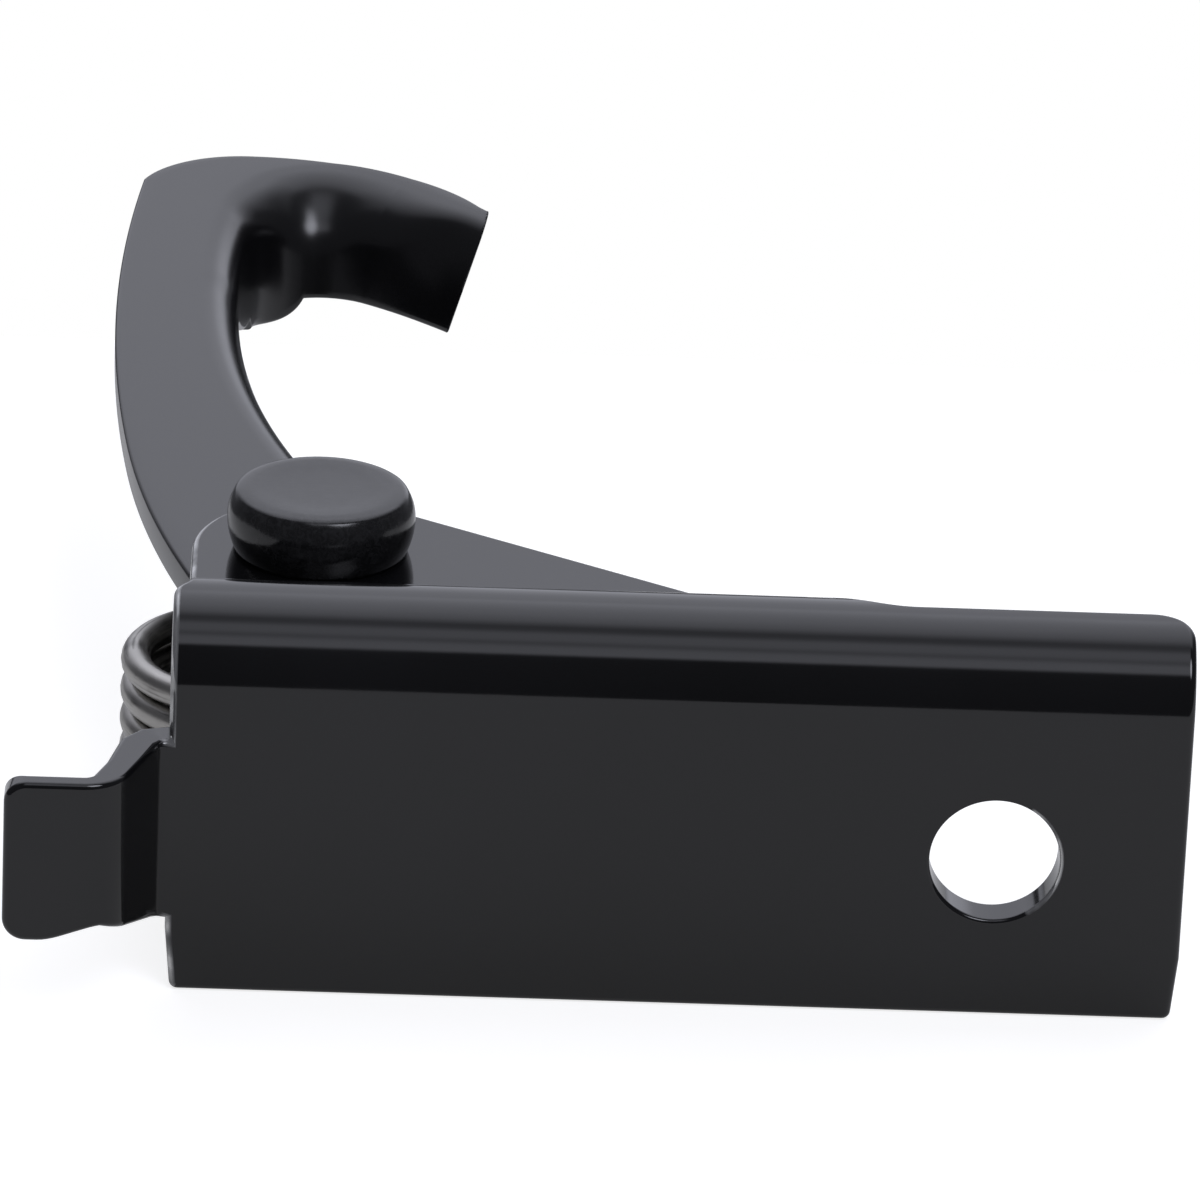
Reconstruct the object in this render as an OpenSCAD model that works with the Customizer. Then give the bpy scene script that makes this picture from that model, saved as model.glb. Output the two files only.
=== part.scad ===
// Bonnet latch: a folded mounting bracket that carries a sprung safety hook on one pivot rivet.
// The origin is the centre of the bolt hole on the bracket's mounting face. +X runs along the plate,
// +Y goes back from the mounting face, +Z is up along the pivot.

/* [Bracket] */
// Thickness of the bracket sheet
sheet_t = 2.8; // [2:0.1:3.6]
// Distance from the bolt hole to the left end of the plate
plate_left = 57.1; // [50:0.1:70]
// Distance from the bolt hole to the right end of the plate
plate_right = 13.2; // [10:0.1:20]
// Distance from the bolt hole down to the lower edge of the plate
plate_below = 11.8; // [8:0.1:16]
// Distance from the bolt hole up to the crest of the folded edge
plate_above = 16.4; // [14:0.1:20]
// Corner radius at the lower edge of the plate
plate_corner_r = 1.2; // [0.4:0.1:3]
// How far the ends of the plate draw in towards its lower corners
plate_draw = 0.4; // [0:0.1:1]
// Height over which they draw in
plate_draw_h = 4.6; // [2:0.1:8]
// Outside radius of the folded upper edge
fold_r = 5.8; // [4.6:0.1:7]
// Diameter of the bolt hole
bolt_hole_d = 9; // [6:0.1:11]
// How far the short part of the fold reaches back from the mounting face
stub_depth = 6.3; // [5.8:0.1:8]
// Corner radius at the right end of the fold
stub_corner_r = 3; // [1:0.1:4]

/* [Ear] */
// Distance from the bolt hole to the pivot, along the plate
pivot_left = 47.2; // [43:0.1:50]
// Distance from the mounting face back to the pivot
pivot_back = 19.5; // [18:0.1:24]
// Drop from the crest of the fold to the top of the ear
ear_drop = 2.9; // [2.4:0.1:3.6]
// Angle of the step between the fold and the ear
ear_step_angle = 45; // [40:1:55]
// Inside radius at the foot of the step
ear_step_r = 2; // [1:0.1:3]
// Radius of the ear round the pivot
ear_r = 9; // [8:0.1:9.8]
// Angle between the ear's straight edge and the plate
ear_slant = 30.8; // [28:0.1:34]
// Radius where the ear's straight edge runs into the fold
ear_fillet_r = 6; // [3:0.5:14]

/* [Locating tab] */
// How far the tab stands in front of the mounting face
tab_offset = 7.5; // [6:0.1:9]
// Overall reach of the tab from the end of the plate
tab_reach = 11; // [9.5:0.1:15]
// Upper edge of the tab above the bolt hole
tab_top = 6.6; // [4:0.1:8]
// Height of the tab where it leaves the plate
tab_root_h = 13; // [10:0.1:15]
// Height of the tab at its free end
tab_end_h = 11.3; // [9:0.1:13]
// Corner radius at the free end of the tab
tab_corner_r = 1.6; // [0.5:0.1:3]
// Angle of the tab's step
tab_step_angle = 70; // [60:1:75]
// Distance from the plate to the neck in the tab's lower edge
tab_neck = 4.2; // [3:0.1:6]
// How far the lower edge rises at the neck
tab_neck_rise = 1.1; // [0:0.1:2]

/* [Hook lever] */
// Thickness of the hook sheet
hook_t = 2.5; // [1.8:0.1:3]
// Running gap between the ear and the hook
hook_gap = 0.4; // [0.2:0.05:0.6]
// Radius of the hub round the pivot
hub_r = 8.1; // [7:0.1:9]
// Distance from the pivot to the back of the hook
hook_reach = 83.4; // [78:0.1:90]
// How far the arm bows out to the left of the pivot
arm_bow = 16; // [15:0.1:17]
// Distance from the back of the hook to the widest point of the bow
bow_back = 29.9; // [26:0.1:34]
// Radius of the arm's outer edge
arm_outer_r = 240; // [200:5:300]
// Width of the arm at its waist
arm_w = 9.2; // [8.4:0.1:10]
// Distance from the back of the hook to the waist
waist_back = 25.2; // [23:0.1:27]
// Radius of the arm's inner edge
arm_inner_r = 98; // [90:1:110]
// Radius in the corner of the throat
throat_r = 5.5; // [4.5:0.1:6.5]
// Outer radius of the hook's back edge
tip_outer_r = 23; // [22:0.1:24]
// How far the centre of that radius lies to the left of the pivot
tip_left = 6.5; // [5.5:0.1:7.5]
// Radius of the knuckle where the back edge runs into the arm
knuckle_r = 8.6; // [8:0.1:10]
// Outside radius of the rolled inner edge
roll_r = 4.5; // [3.6:0.1:5]
// Depth of the catch flange at the tip
catch_depth = 8.4; // [7.5:0.1:9.5]
// Extra depth of the lobe in the corner of the throat
lobe_extra = 1.4; // [0.6:0.1:2]
// Depth of the rolled edge next to the hub
roll_depth = 5.4; // [5:0.1:7]
// Lean of the catch flange at the tip, from upright
tip_lean = 18; // [10:1:22]
// How far the foot of the flange opens out at the tip
tip_flare = 0.8; // [0:0.1:1.2]

/* [Pivot and spring] */
// Diameter of the rivet shank
shank_d = 7; // [6:0.1:7.6]
// Largest diameter of the rivet head
head_d = 13.2; // [12:0.1:15]
// Height of the rivet head
head_h = 4.6; // [3.8:0.1:5]
// Height of the widest part of the rivet head above the ear
head_under_h = 2.5; // [1.8:0.1:3]
// Running clearance between the shank and the hook, on the radius
shank_clear = 0.05; // [0.02:0.01:0.1]
// Wire diameter of the return spring
wire_d = 2.1; // [1.6:0.1:2.4]
// Mean coil diameter of the return spring
coil_d = 17.5; // [16.5:0.1:18.5]
// Gap between the coils of the return spring
coil_gap = 0.17; // [0.1:0.01:0.3]
// Whole turns of the return spring
coil_turns = 4; // [3:1:5]
// Diameter of the retaining washer
washer_d = 20; // [18:0.5:24]
// Thickness of the retaining washer
washer_t = 1.6; // [1:0.1:2.5]
// Height of the riveted tail below the washer
tail_h = 2; // [1.5:0.1:3]

/* [Hidden] */
$fn = 96;
eps = 0.01;
over = 1;
far = 400;

black_paint = [0.05, 0.05, 0.055];
dark_rivet = [0.27, 0.27, 0.28];
spring_steel = [0.55, 0.54, 0.51];
plated_steel = [0.5, 0.5, 0.49];

// Bracket levels
fold_z = plate_above - fold_r;
ear_top = plate_above - ear_drop;
ear_bottom = ear_top - sheet_t;
plate_bottom = -plate_below;
plate_back = sheet_t;
pivot = [-pivot_left, pivot_back];

// The step from the fold down to the ear, in the side view
step_arc_drop = (fold_r + ear_step_r) * (1 - cos(ear_step_angle));
step_flat = (ear_drop - step_arc_drop) / sin(ear_step_angle);
step_top = [fold_r * (1 + sin(ear_step_angle)), fold_z + fold_r * cos(ear_step_angle)];
step_foot = step_top + step_flat * [cos(ear_step_angle), -sin(ear_step_angle)];
ear_start = step_foot[0] + ear_step_r * sin(ear_step_angle);

// Ear outline, in plan
ear_tangent = pivot + ear_r * [sin(ear_slant), cos(ear_slant)];
slant_run = (ear_tangent[1] - stub_depth) / sin(ear_slant);
slant_meet = ear_tangent + slant_run * [cos(ear_slant), -sin(ear_slant)];
fillet_leg = ear_fillet_r * tan(ear_slant / 2);
ear_left = pivot[0] - ear_r;
shoulder_r = 2.2;
shoulder_y = fold_r - 1;

// Tab bends and free end
tab_root_r = 0.8;
tab_face_r = 0.6;
tab_tip = -plate_left - tab_reach;
tab_flat = 4;

// Hook levels and circles, in plan from the pivot
hook_top = ear_bottom - hook_gap;
hook_bottom = hook_top - hook_t;
outer_c = [arm_outer_r - arm_bow, hook_reach - bow_back];
waist_y = hook_reach - waist_back;
inner_c = [arm_w - arm_bow + arm_inner_r, waist_y];
tip_c = [-tip_left, hook_reach - tip_outer_r];
throat_turn = 7;
throat_c = inner_c + (arm_inner_r - throat_r) * [-cos(throat_turn), sin(throat_turn)];
tip_to_throat = throat_c - tip_c;
catch_r = norm(tip_to_throat) + throat_r;
catch_start = atan2(tip_to_throat[1], tip_to_throat[0]);
throat_y = inner_c[1] + arm_inner_r * sin(throat_turn);

// The rolled edge starts just beyond the ear, and the sheet bends down over its first stretch
roll_start_y = 13;
roll_run_out = 8;
roll_end_turn = asin((waist_y - roll_start_y) / arm_inner_r);
bend_steps = 6;

// The outer edge turns into the hub on a tangent circle
hip_y = 25;
hip_angle = 180 - asin((hip_y - outer_c[1]) / arm_outer_r);
hip_dir = [cos(hip_angle), sin(hip_angle)];
hip = outer_c + arm_outer_r * hip_dir;
hip_r = (hip * hip - hub_r * hub_r) / (2 * (hip * hip_dir - hub_r));
hip_c = hip - hip_r * hip_dir;
hub_join = 360 + atan2(-hip_c[1], -hip_c[0]);

// The knuckle leaves the back edge on a tangent and ends in a corner on the outer edge
knuckle_start = 91;
knuckle_c = tip_c + (tip_outer_r - knuckle_r) * [cos(knuckle_start), sin(knuckle_start)];
corner = meet(knuckle_c, knuckle_r, outer_c, arm_outer_r);
corner_turn = bearing(corner - throat_c);
knuckle_turn = bearing(tip_c + tip_outer_r * heading(knuckle_start) - throat_c);

// The tip: where it ends, its tighter bend, the slant of its cut end, and how far its edge draws in
tip_end = 34.4;
tip_roll_r = 3.2;
tip_skew = 0.5;
tip_draw = 0.7;

// Lobe and end corner of the catch flange
lobe_r = 2.6;
lobe_left = 3.8;
catch_corner_r = 2;

// The stop heel reaches forward until it meets the back of the plate
stop_gap = 0.3;
heel_end = plate_back + stop_gap - pivot_back;
heel_left = 3.5;
heel_right = 10.5;
heel_root = 2;
hub_end = 290;

// Spring stack below the hook
wire_r = wire_d / 2;
coil_r = coil_d / 2;
pitch = wire_d + coil_gap;
seat_gap = 0.3;
coil_clear = 0.1;
leg_top_angle = 28;
leg_low_angle = 330;
turn_angle = 360 * coil_turns + leg_top_angle + 360 - leg_low_angle;
coil_top = hook_bottom - seat_gap - wire_r;
coil_low = coil_top - pitch * turn_angle / 360;
coil_slack = coil_r - wire_r - shank_d / 2 - coil_clear;
coil_lean = 14;
coil_c = coil_slack * [-cos(coil_lean), -sin(coil_lean)];
leg_top_l = 16;
leg_low_reach = pivot_back - plate_back - seat_gap - wire_r;
leg_low_start = coil_c + coil_r * [cos(leg_low_angle), sin(leg_low_angle)];
leg_low_l = (leg_low_reach + leg_low_start[1]) / cos(leg_low_angle);
washer_top = coil_low - wire_r - seat_gap;
washer_bottom = washer_top - washer_t;

// Rivet below its head, and its fit in the ear and the washer
tenon_d = shank_d - 2;
tail_d = shank_d + 2;
tail_rim = 0.8;
head_under_r = 5.5;
rivet_fit = 0.02;

// Points along an arc about c, from angle a to angle b
function arc(c, r, a, b, n = 16) = [for (i = [0:n]) c + r * heading(a + (b - a) * i / n)];

// The crossing of two circles that lies to the left of the line from the first centre to the second
function meet(a, ra, b, rb) = let (
        d = norm(b - a),
        u = (b - a) / d,
        s = (d * d + ra * ra - rb * rb) / (2 * d),
        h = sqrt(ra * ra - s * s))
    a + s * u + h * [-u[1], u[0]];

// Direction of a vector, from 0 to 360 degrees, and the unit vector in a direction
function bearing(v) = (atan2(v[1], v[0]) + 360) % 360;
function heading(a) = [cos(a), sin(a)];

// Distance from p along the unit vector n to the far side of a circle
function far_side(p, n, c, r) = let (q = c - p, s = q * n) s + sqrt(r * r - q * q + s * s);

// A ramp from 0 to 1 that starts and ends level
function ease(t) = t * t * (3 - 2 * t);

// Values from a to b in n steps, without the last one
function steps(a, b, n) = [for (i = [0:n - 1]) a + (b - a) * i / n];

// A slice of a disc about the origin, between two angles less than 180 degrees apart
module pie(r, a, b) {
    intersection() {
        circle(r);
        polygon([[0, 0], 2 * r * [cos(a), sin(a)], 2 * r * [cos((a + b) / 2), sin((a + b) / 2)],
                 2 * r * [cos(b), sin(b)]]);
    }
}

// A bent strip of sheet: the ring between two radii over a range of angles
module bend(r_out, r_in, a, b) {
    difference() {
        pie(r_out, a, b);
        circle(r_in);
    }
}

// Stands a side view drawn in Y and Z up across the whole width
module along_x(x0, x1) {
    translate([x0, 0, 0]) rotate([90, 0, 90]) linear_extrude(x1 - x0) children();
}

// Stands a front view drawn in X and Z up from y0 to y1
module along_y(y0, y1) {
    translate([0, y1, 0]) rotate([90, 0, 0]) linear_extrude(y1 - y0) children();
}

// Side view of the bracket: plate, folded edge, step and ear
module bracket_side() {
    translate([0, plate_bottom]) square([sheet_t, fold_z - plate_bottom]);
    translate([fold_r, fold_z]) bend(fold_r, fold_r - sheet_t, 90 - ear_step_angle, 180);
    translate(step_top) rotate(-ear_step_angle) translate([-eps, -sheet_t])
        square([step_flat + 2 * eps, sheet_t]);
    translate([ear_start, ear_top + ear_step_r])
        bend(ear_step_r + sheet_t, ear_step_r, 270 - ear_step_angle, 270);
    translate([ear_start - eps, ear_bottom]) square([pivot_back + ear_r + over - ear_start, sheet_t]);
}

// Plan of the folded part: stub on the right, ear round the pivot on the left
module bracket_plan() {
    stub_c = [plate_right - stub_corner_r, stub_depth - stub_corner_r];
    fillet_c = [slant_meet[0] + fillet_leg, stub_depth + ear_fillet_r];
    step_in = ear_left + plate_left;
    swing = acos(1 - step_in / (2 * shoulder_r));
    polygon(concat(
        [[-plate_left, -over], [plate_right, -over]],
        arc(stub_c, stub_corner_r, 0, 90),
        arc(fillet_c, ear_fillet_r, 270, 270 - ear_slant),
        arc(pivot, ear_r, 90 - ear_slant, 180, 40),
        arc([ear_left - shoulder_r, shoulder_y + 2 * shoulder_r * sin(swing)], shoulder_r, 0, -swing, 6),
        arc([shoulder_r - plate_left, shoulder_y], shoulder_r, 180 - swing, 180, 6)
    ));
}

// Front view of the plate, with its lower corners rounded
module plate_front() {
    low = plate_bottom + plate_corner_r;
    draw_in = plate_corner_r + plate_draw;
    draw_top = plate_bottom + plate_draw_h;
    polygon(concat(
        [[-plate_left, draw_top]],
        arc([draw_in - plate_left, low], plate_corner_r, 180, 270, 8),
        arc([plate_right - draw_in, low], plate_corner_r, 270, 360, 8),
        [[plate_right, draw_top], [plate_right, plate_above + over], [-plate_left, plate_above + over]]
    ));
}

// Plan of the tab: the plate's sheet stepped forward through two bends
module tab_plan() {
    g = tab_step_angle;
    run = (tab_offset - (tab_root_r + tab_face_r + sheet_t) * (1 - cos(g))) / sin(g);
    root_end = [-plate_left - tab_root_r * sin(g), -tab_root_r * (1 - cos(g))];
    face_start = root_end + run * [-cos(g), -sin(g)];
    face_c = face_start + (tab_face_r + sheet_t) * [-sin(g), cos(g)];
    translate([-plate_left - eps, 0]) square([over, sheet_t]);
    translate([-plate_left, -tab_root_r]) bend(tab_root_r + sheet_t, tab_root_r, 90, 90 + g);
    translate(root_end) rotate(180 + g) translate([-eps, -sheet_t]) square([run + 2 * eps, sheet_t]);
    translate(face_c) bend(tab_face_r + sheet_t, tab_face_r, 270, 270 + g);
    translate([tab_tip, -tab_offset]) square([face_c[0] - tab_tip + eps, sheet_t]);
}

// Front view of the tab: its lower edge rises to the free end
module tab_front() {
    end_bottom = tab_top - tab_end_h;
    root_bottom = tab_top - tab_root_h;
    c = tab_corner_r;
    polygon(concat(
        arc([tab_tip + c, tab_top - c], c, 90, 180, 8),
        arc([tab_tip + c, end_bottom + c], c, 180, 270, 8),
        [[tab_tip + tab_flat, end_bottom], [-plate_left - tab_neck, end_bottom + tab_neck_rise]],
        [[-plate_left, root_bottom], [over - plate_left, root_bottom], [over - plate_left, tab_top]]
    ));
}

module bracket() {
    color(black_paint) difference() {
        union() {
            intersection() {
                along_x(-plate_left, plate_right) bracket_side();
                translate([0, 0, plate_bottom - over]) linear_extrude(far) bracket_plan();
                along_y(-over, far) plate_front();
            }
            intersection() {
                translate([0, 0, -far / 2]) linear_extrude(far) tab_plan();
                along_y(-far / 2, far / 2) tab_front();
            }
        }
        translate([0, -over, 0]) rotate([-90, 0, 0]) cylinder(d = bolt_hole_d, h = sheet_t + 2 * over);
        translate([pivot[0], pivot[1], ear_bottom - over])
            cylinder(d = shank_d + 2 * rivet_fit, h = sheet_t + 2 * over);
    }
}

// The hook sheet is lofted through rows of points that run from its outer edge to its inner edge.
// A row is a pair of lists, for the top face and for the underside.
function flat_row(l, r) = [for (z = [0, -hook_t])
    [for (k = [0:bend_steps + 2]) let (p = l + (r - l) * k / (bend_steps + 2)) [p[0], p[1], z]]];

// A row that is bent down by angle b on radius r from the bend line t, and goes on by a flange f long.
// n points away from the throat, l is on the outer edge, and skew shifts the foot of the flange sideways.
function bent_row(l, t, n, r, b, f, skew = [0, 0]) = [for (off = [0, hook_t]) let (inside = r - off) concat(
    [sunk(l, -off, skew), sunk(t, -off, skew)],
    [for (k = [1:bend_steps]) let (a = b * k / bend_steps)
        sunk(t - inside * sin(a) * n, inside * cos(a) - r, skew)],
    [sunk(t - (inside * sin(b) + f * cos(b)) * n, inside * cos(b) - r - f * sin(b), skew)])];
function sunk(p, z, skew) = let (q = p - skew * z / catch_depth) [q[0], q[1], z];

// The outer edge of the arm, and of the hook beyond it, as seen from a point of the inner edge
function arm_edge(w, n) = let (p = w + far_side(w, n, outer_c, arm_outer_r) * n)
    p[1] > hip_y ? p : w + far_side(w, n, hip_c, hip_r) * n;
function back_edge(w, n, a) = a > corner_turn ? arm_edge(w, n)
    : a > knuckle_turn ? w + far_side(w, n, knuckle_c, knuckle_r) * n
    : w + far_side(w, n, tip_c, tip_outer_r) * n;

// Arm: the edge bends down until it stands upright, and deepens towards the throat
function arm_row(a) = let (
        n = heading(a),
        w = inner_c + arm_inner_r * n,
        b = max(90 * ease(min((w[1] - roll_start_y) / roll_run_out, 1)), 1),
        r = roll_r * 90 / b,
        deeper = (w[1] - roll_start_y) / (throat_y - roll_start_y),
        f = roll_depth - roll_r + (catch_depth - roll_depth) * deeper)
    bent_row(arm_edge(w, n), w + (r * sin(b) + f * cos(b)) * n, n, r, b, f);

// Throat: the upright flange goes round the corner, with a lobe on its lower edge
function throat_row(a) = let (
        n = heading(a),
        w = throat_c + throat_r * n,
        side = w[0] - throat_c[0] + lobe_left,
        lobe = lobe_extra - lobe_r + sqrt(max(lobe_r * lobe_r - side * side, 0)))
    bent_row(back_edge(w, n, a), w + roll_r * n, n, roll_r, 90, catch_depth + max(lobe, 0) - roll_r);

// Catch: the flange leans out towards the tip, where its lower corner is rounded
function catch_row(a) = let (
        n = heading(a),
        t = (catch_start - a) / (catch_start - tip_end),
        b = 90 - tip_lean * ease(t),
        r = roll_r + (tip_roll_r - roll_r) * ease(t),
        f = (catch_depth - r * (1 - cos(b))) / sin(b),
        w = tip_c + (catch_r + tip_flare * t * t) * n,
        from_end = max(catch_corner_r - (a - tip_end) * PI / 180 * catch_r, 0),
        cut = catch_corner_r - sqrt(catch_corner_r * catch_corner_r - from_end * from_end))
    bent_row(tip_c + (tip_outer_r - tip_draw * t * t) * n, w + (r * sin(b) + f * cos(b)) * n, n,
             r, b, f - cut, tip_skew * ease(t) * [sin(a), -cos(a)]);

// All rows of the hook, from the end of the stop heel round the hub and along the arm to the tip
function hook_rows() = let (
        hub_foot = hub_r * heading(hub_end),
        roll_start = inner_c - arm_inner_r * heading(roll_end_turn),
        roll_edge = arm_edge(roll_start, -heading(roll_end_turn)),
        heel = [heel_right, heel_root],
        arm_end = 180 - throat_turn)
    concat(
        [flat_row([heel_left, heel_end], [heel_right, heel_end])],
        [for (u = steps(0, 1, 12)) flat_row(hub_r * heading(hub_end + (hub_join - hub_end) * u),
            [heel_right, hub_foot[1] + (heel_root - hub_foot[1]) * u])],
        [for (u = steps(0, 1, 6)) flat_row(
            hip_c + hip_r * heading(hub_join + (bearing(roll_edge - hip_c) - hub_join) * u),
            heel + (roll_start - heel) * u)],
        [for (a = steps(180 + roll_end_turn, arm_end, 28)) arm_row(a)],
        [for (a = steps(arm_end, corner_turn, 8)) throat_row(a)],
        [for (a = steps(corner_turn, knuckle_turn, 8)) throat_row(a)],
        [for (a = steps(knuckle_turn, catch_start, 10)) throat_row(a)],
        [for (a = steps(catch_start, tip_end, 16)) catch_row(a)],
        [catch_row(tip_end)]);

// Closes a sheet over its rows: top, underside, the two long edges and the two ends
module sheet_loft(rows) {
    last = len(rows) - 1;
    cols = len(rows[0][0]);
    function top(i, j) = i * cols + j;
    function low(i, j) = (last + 1 + i) * cols + j;
    polyhedron(
        points = [for (face = [0, 1]) for (row = rows) each row[face]],
        faces = concat(
            [for (i = [0:last - 1]) for (j = [0:cols - 2])
                [top(i, j), top(i + 1, j), top(i + 1, j + 1), top(i, j + 1)]],
            [for (i = [0:last - 1]) for (j = [0:cols - 2])
                [low(i, j), low(i, j + 1), low(i + 1, j + 1), low(i + 1, j)]],
            [for (i = [0:last - 1]) [top(i, 0), low(i, 0), low(i + 1, 0), top(i + 1, 0)]],
            [for (i = [0:last - 1]) let (j = cols - 1) [top(i, j), top(i + 1, j), low(i + 1, j), low(i, j)]],
            [for (j = [0:cols - 2]) [top(0, j), top(0, j + 1), low(0, j + 1), low(0, j)]],
            [for (j = [0:cols - 2]) [top(last, j), low(last, j), low(last, j + 1), top(last, j + 1)]]));
}

module hook_lever() {
    translate([pivot[0], pivot[1], hook_top]) color(black_paint) difference() {
        sheet_loft(hook_rows());
        translate([0, 0, -hook_t - over]) cylinder(d = shank_d + 2 * shank_clear, h = hook_t + 2 * over);
    }
}

// Half section of the rivet, from the flat of its head down to its tail
module rivet_section() {
    head_r = head_d / 2;
    rim_r = head_h - head_under_h;
    shank_low = washer_top - ear_top;
    tenon_low = washer_bottom - ear_top;
    polygon(concat(
        [[0, head_h]],
        arc([head_r - rim_r, head_under_h], rim_r, 90, 0, 10),
        arc([head_r - head_under_r, head_under_h], head_under_r, 0, -asin(head_under_h / head_under_r), 8),
        [[shank_d / 2, 0], [shank_d / 2, shank_low], [tenon_d / 2, shank_low], [tenon_d / 2, tenon_low]],
        [[tail_d / 2, tenon_low], [tail_d / 2, tenon_low - tail_rim]],
        [[tenon_d / 2, tenon_low - tail_h], [0, tenon_low - tail_h]]
    ));
}

module pivot_rivet() {
    translate([pivot[0], pivot[1], ear_top]) color(dark_rivet) rotate_extrude() rivet_section();
}

// Route of the spring wire: lower leg, coil and upper leg, from the pivot
function coil_point(a) = let (u = (a - leg_low_angle) / turn_angle)
    [coil_c[0] + coil_r * cos(a), coil_c[1] + coil_r * sin(a), coil_low + (coil_top - coil_low) * u];
function leg_dir(a) = [-sin(a), cos(a), 0];
function spring_route(n = 28) = let (
        a0 = leg_low_angle,
        a1 = leg_low_angle + turn_angle,
        steps = round(n * turn_angle / 360))
    concat(
        [coil_point(a0) - leg_low_l * leg_dir(a0)],
        [for (i = [0:steps]) coil_point(a0 + (a1 - a0) * i / steps)],
        [coil_point(a1) + leg_top_l * leg_dir(a1)]);

// A round wire along a route that stays nearly level
module wire(route, r, sides = 12) {
    n = len(route);
    function run(i) = let (d = route[min(i + 1, n - 1)] - route[max(i - 1, 0)]) d / norm(d);
    function side(i) = let (h = run(i), s = [-h[1], h[0], 0]) s / norm(s);
    rings = [for (i = [0:n - 1]) let (s = side(i), u = cross(run(i), s))
        for (k = [0:sides - 1]) let (a = 360 * k / sides) route[i] + r * (cos(a) * s + sin(a) * u)];
    walls = [for (i = [0:n - 2]) for (k = [0:sides - 1]) let (k2 = (k + 1) % sides)
        [i * sides + k, (i + 1) * sides + k, (i + 1) * sides + k2, i * sides + k2]];
    first = [for (k = [0:sides - 1]) k];
    last = [for (k = [0:sides - 1]) n * sides - 1 - k];
    polyhedron(points = rings, faces = concat([first], walls, [last]));
}

module return_spring() {
    translate([pivot[0], pivot[1], 0]) color(spring_steel) wire(spring_route(), wire_r);
}

module retaining_washer() {
    translate([pivot[0], pivot[1], washer_bottom]) color(plated_steel) difference() {
        cylinder(d = washer_d, h = washer_t);
        translate([0, 0, -over]) cylinder(d = tenon_d + 2 * rivet_fit, h = washer_t + 2 * over);
    }
}

bracket();
hook_lever();
pivot_rivet();
return_spring();
retaining_washer();
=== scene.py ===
import math

import bmesh
import bpy
import numpy as np
from mathutils import Matrix, Vector
from mathutils.geometry import delaunay_2d_cdt


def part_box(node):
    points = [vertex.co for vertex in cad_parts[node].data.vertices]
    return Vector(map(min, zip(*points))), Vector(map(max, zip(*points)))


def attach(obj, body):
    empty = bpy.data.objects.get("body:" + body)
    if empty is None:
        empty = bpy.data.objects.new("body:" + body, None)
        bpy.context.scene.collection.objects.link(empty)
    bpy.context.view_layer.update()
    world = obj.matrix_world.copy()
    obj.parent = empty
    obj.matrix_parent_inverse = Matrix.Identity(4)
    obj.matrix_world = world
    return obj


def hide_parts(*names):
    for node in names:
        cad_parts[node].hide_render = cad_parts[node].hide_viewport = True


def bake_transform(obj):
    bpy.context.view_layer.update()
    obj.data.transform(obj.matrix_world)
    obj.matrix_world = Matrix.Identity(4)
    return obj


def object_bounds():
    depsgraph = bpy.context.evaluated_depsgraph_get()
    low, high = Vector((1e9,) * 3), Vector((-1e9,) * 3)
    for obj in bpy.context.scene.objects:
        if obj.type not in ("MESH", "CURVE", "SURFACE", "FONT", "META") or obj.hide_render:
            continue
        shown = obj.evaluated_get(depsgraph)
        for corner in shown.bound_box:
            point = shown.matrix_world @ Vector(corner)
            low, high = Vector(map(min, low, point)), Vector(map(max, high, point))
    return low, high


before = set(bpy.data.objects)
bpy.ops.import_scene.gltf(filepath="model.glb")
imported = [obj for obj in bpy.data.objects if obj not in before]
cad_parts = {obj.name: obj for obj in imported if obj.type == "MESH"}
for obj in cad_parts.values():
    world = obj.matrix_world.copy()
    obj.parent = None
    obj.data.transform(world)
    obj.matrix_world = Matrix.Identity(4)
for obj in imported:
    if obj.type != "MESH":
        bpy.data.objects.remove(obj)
cadBox = [list(corner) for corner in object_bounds()]
scene = bpy.context.scene
scene.view_settings.view_transform = "Standard"
mm = 0.001  # pieces are worked out in millimetres
print("frame loaded:", ", ".join(sorted(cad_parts)))


def heading(degrees):
    return np.array([math.cos(math.radians(degrees)), math.sin(math.radians(degrees))])


def bearing(v):
    return math.degrees(math.atan2(v[1], v[0])) % 360


def ease(t):
    return t * t * (3 - 2 * t)


def arcPoints(centre, radius, start, end, spacing=0.35):
    count = max(3, math.ceil(radius * math.radians(abs(end - start)) / spacing))
    return [np.asarray(centre) + radius * heading(a) for a in np.linspace(start, end, count + 1)]


def addPiece(name, points, faces, material, normals=None):
    mesh = bpy.data.meshes.new(name)
    mesh.from_pydata([tuple(p) for p in np.asarray(points) * mm], [], faces)
    mesh.shade_smooth()
    mesh.materials.append(material)
    if normals is not None:
        mesh.normals_split_custom_set_from_vertices([tuple(n) for n in normals])
    piece = bpy.data.objects.new(name, mesh)
    scene.collection.objects.link(piece)
    return piece


def ringFaces(rows, ring):
    # quads between neighbouring rows of points, each row a ring of the same length
    faces = []
    for i in range(rows - 1):
        for k in range(ring):
            n = (k + 1) % ring
            faces.append((i * ring + k, i * ring + n, (i + 1) * ring + n, (i + 1) * ring + k))
    return faces


# Materials


def linear(hexColour):
    parts = [int(hexColour[i:i + 2], 16) / 255 for i in (1, 3, 5)]
    return tuple(c / 12.92 if c <= 0.04045 else ((c + 0.055) / 1.055) ** 2.4 for c in parts) + (1.0,)


def addNode(tree, kind, inputs=None, **settings):
    node = tree.nodes.new(kind)
    for key, value in settings.items():
        setattr(node, key, value)
    for key, value in (inputs or {}).items():
        if isinstance(value, bpy.types.NodeSocket):
            tree.links.new(value, node.inputs[key])
        else:
            node.inputs[key].default_value = value
    return node


def fillRamp(ramp, stops):
    while len(ramp.elements) < len(stops):
        ramp.elements.new(0.5)
    for element, (position, colour) in zip(ramp.elements, stops):
        element.position, element.color = position, colour


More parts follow.
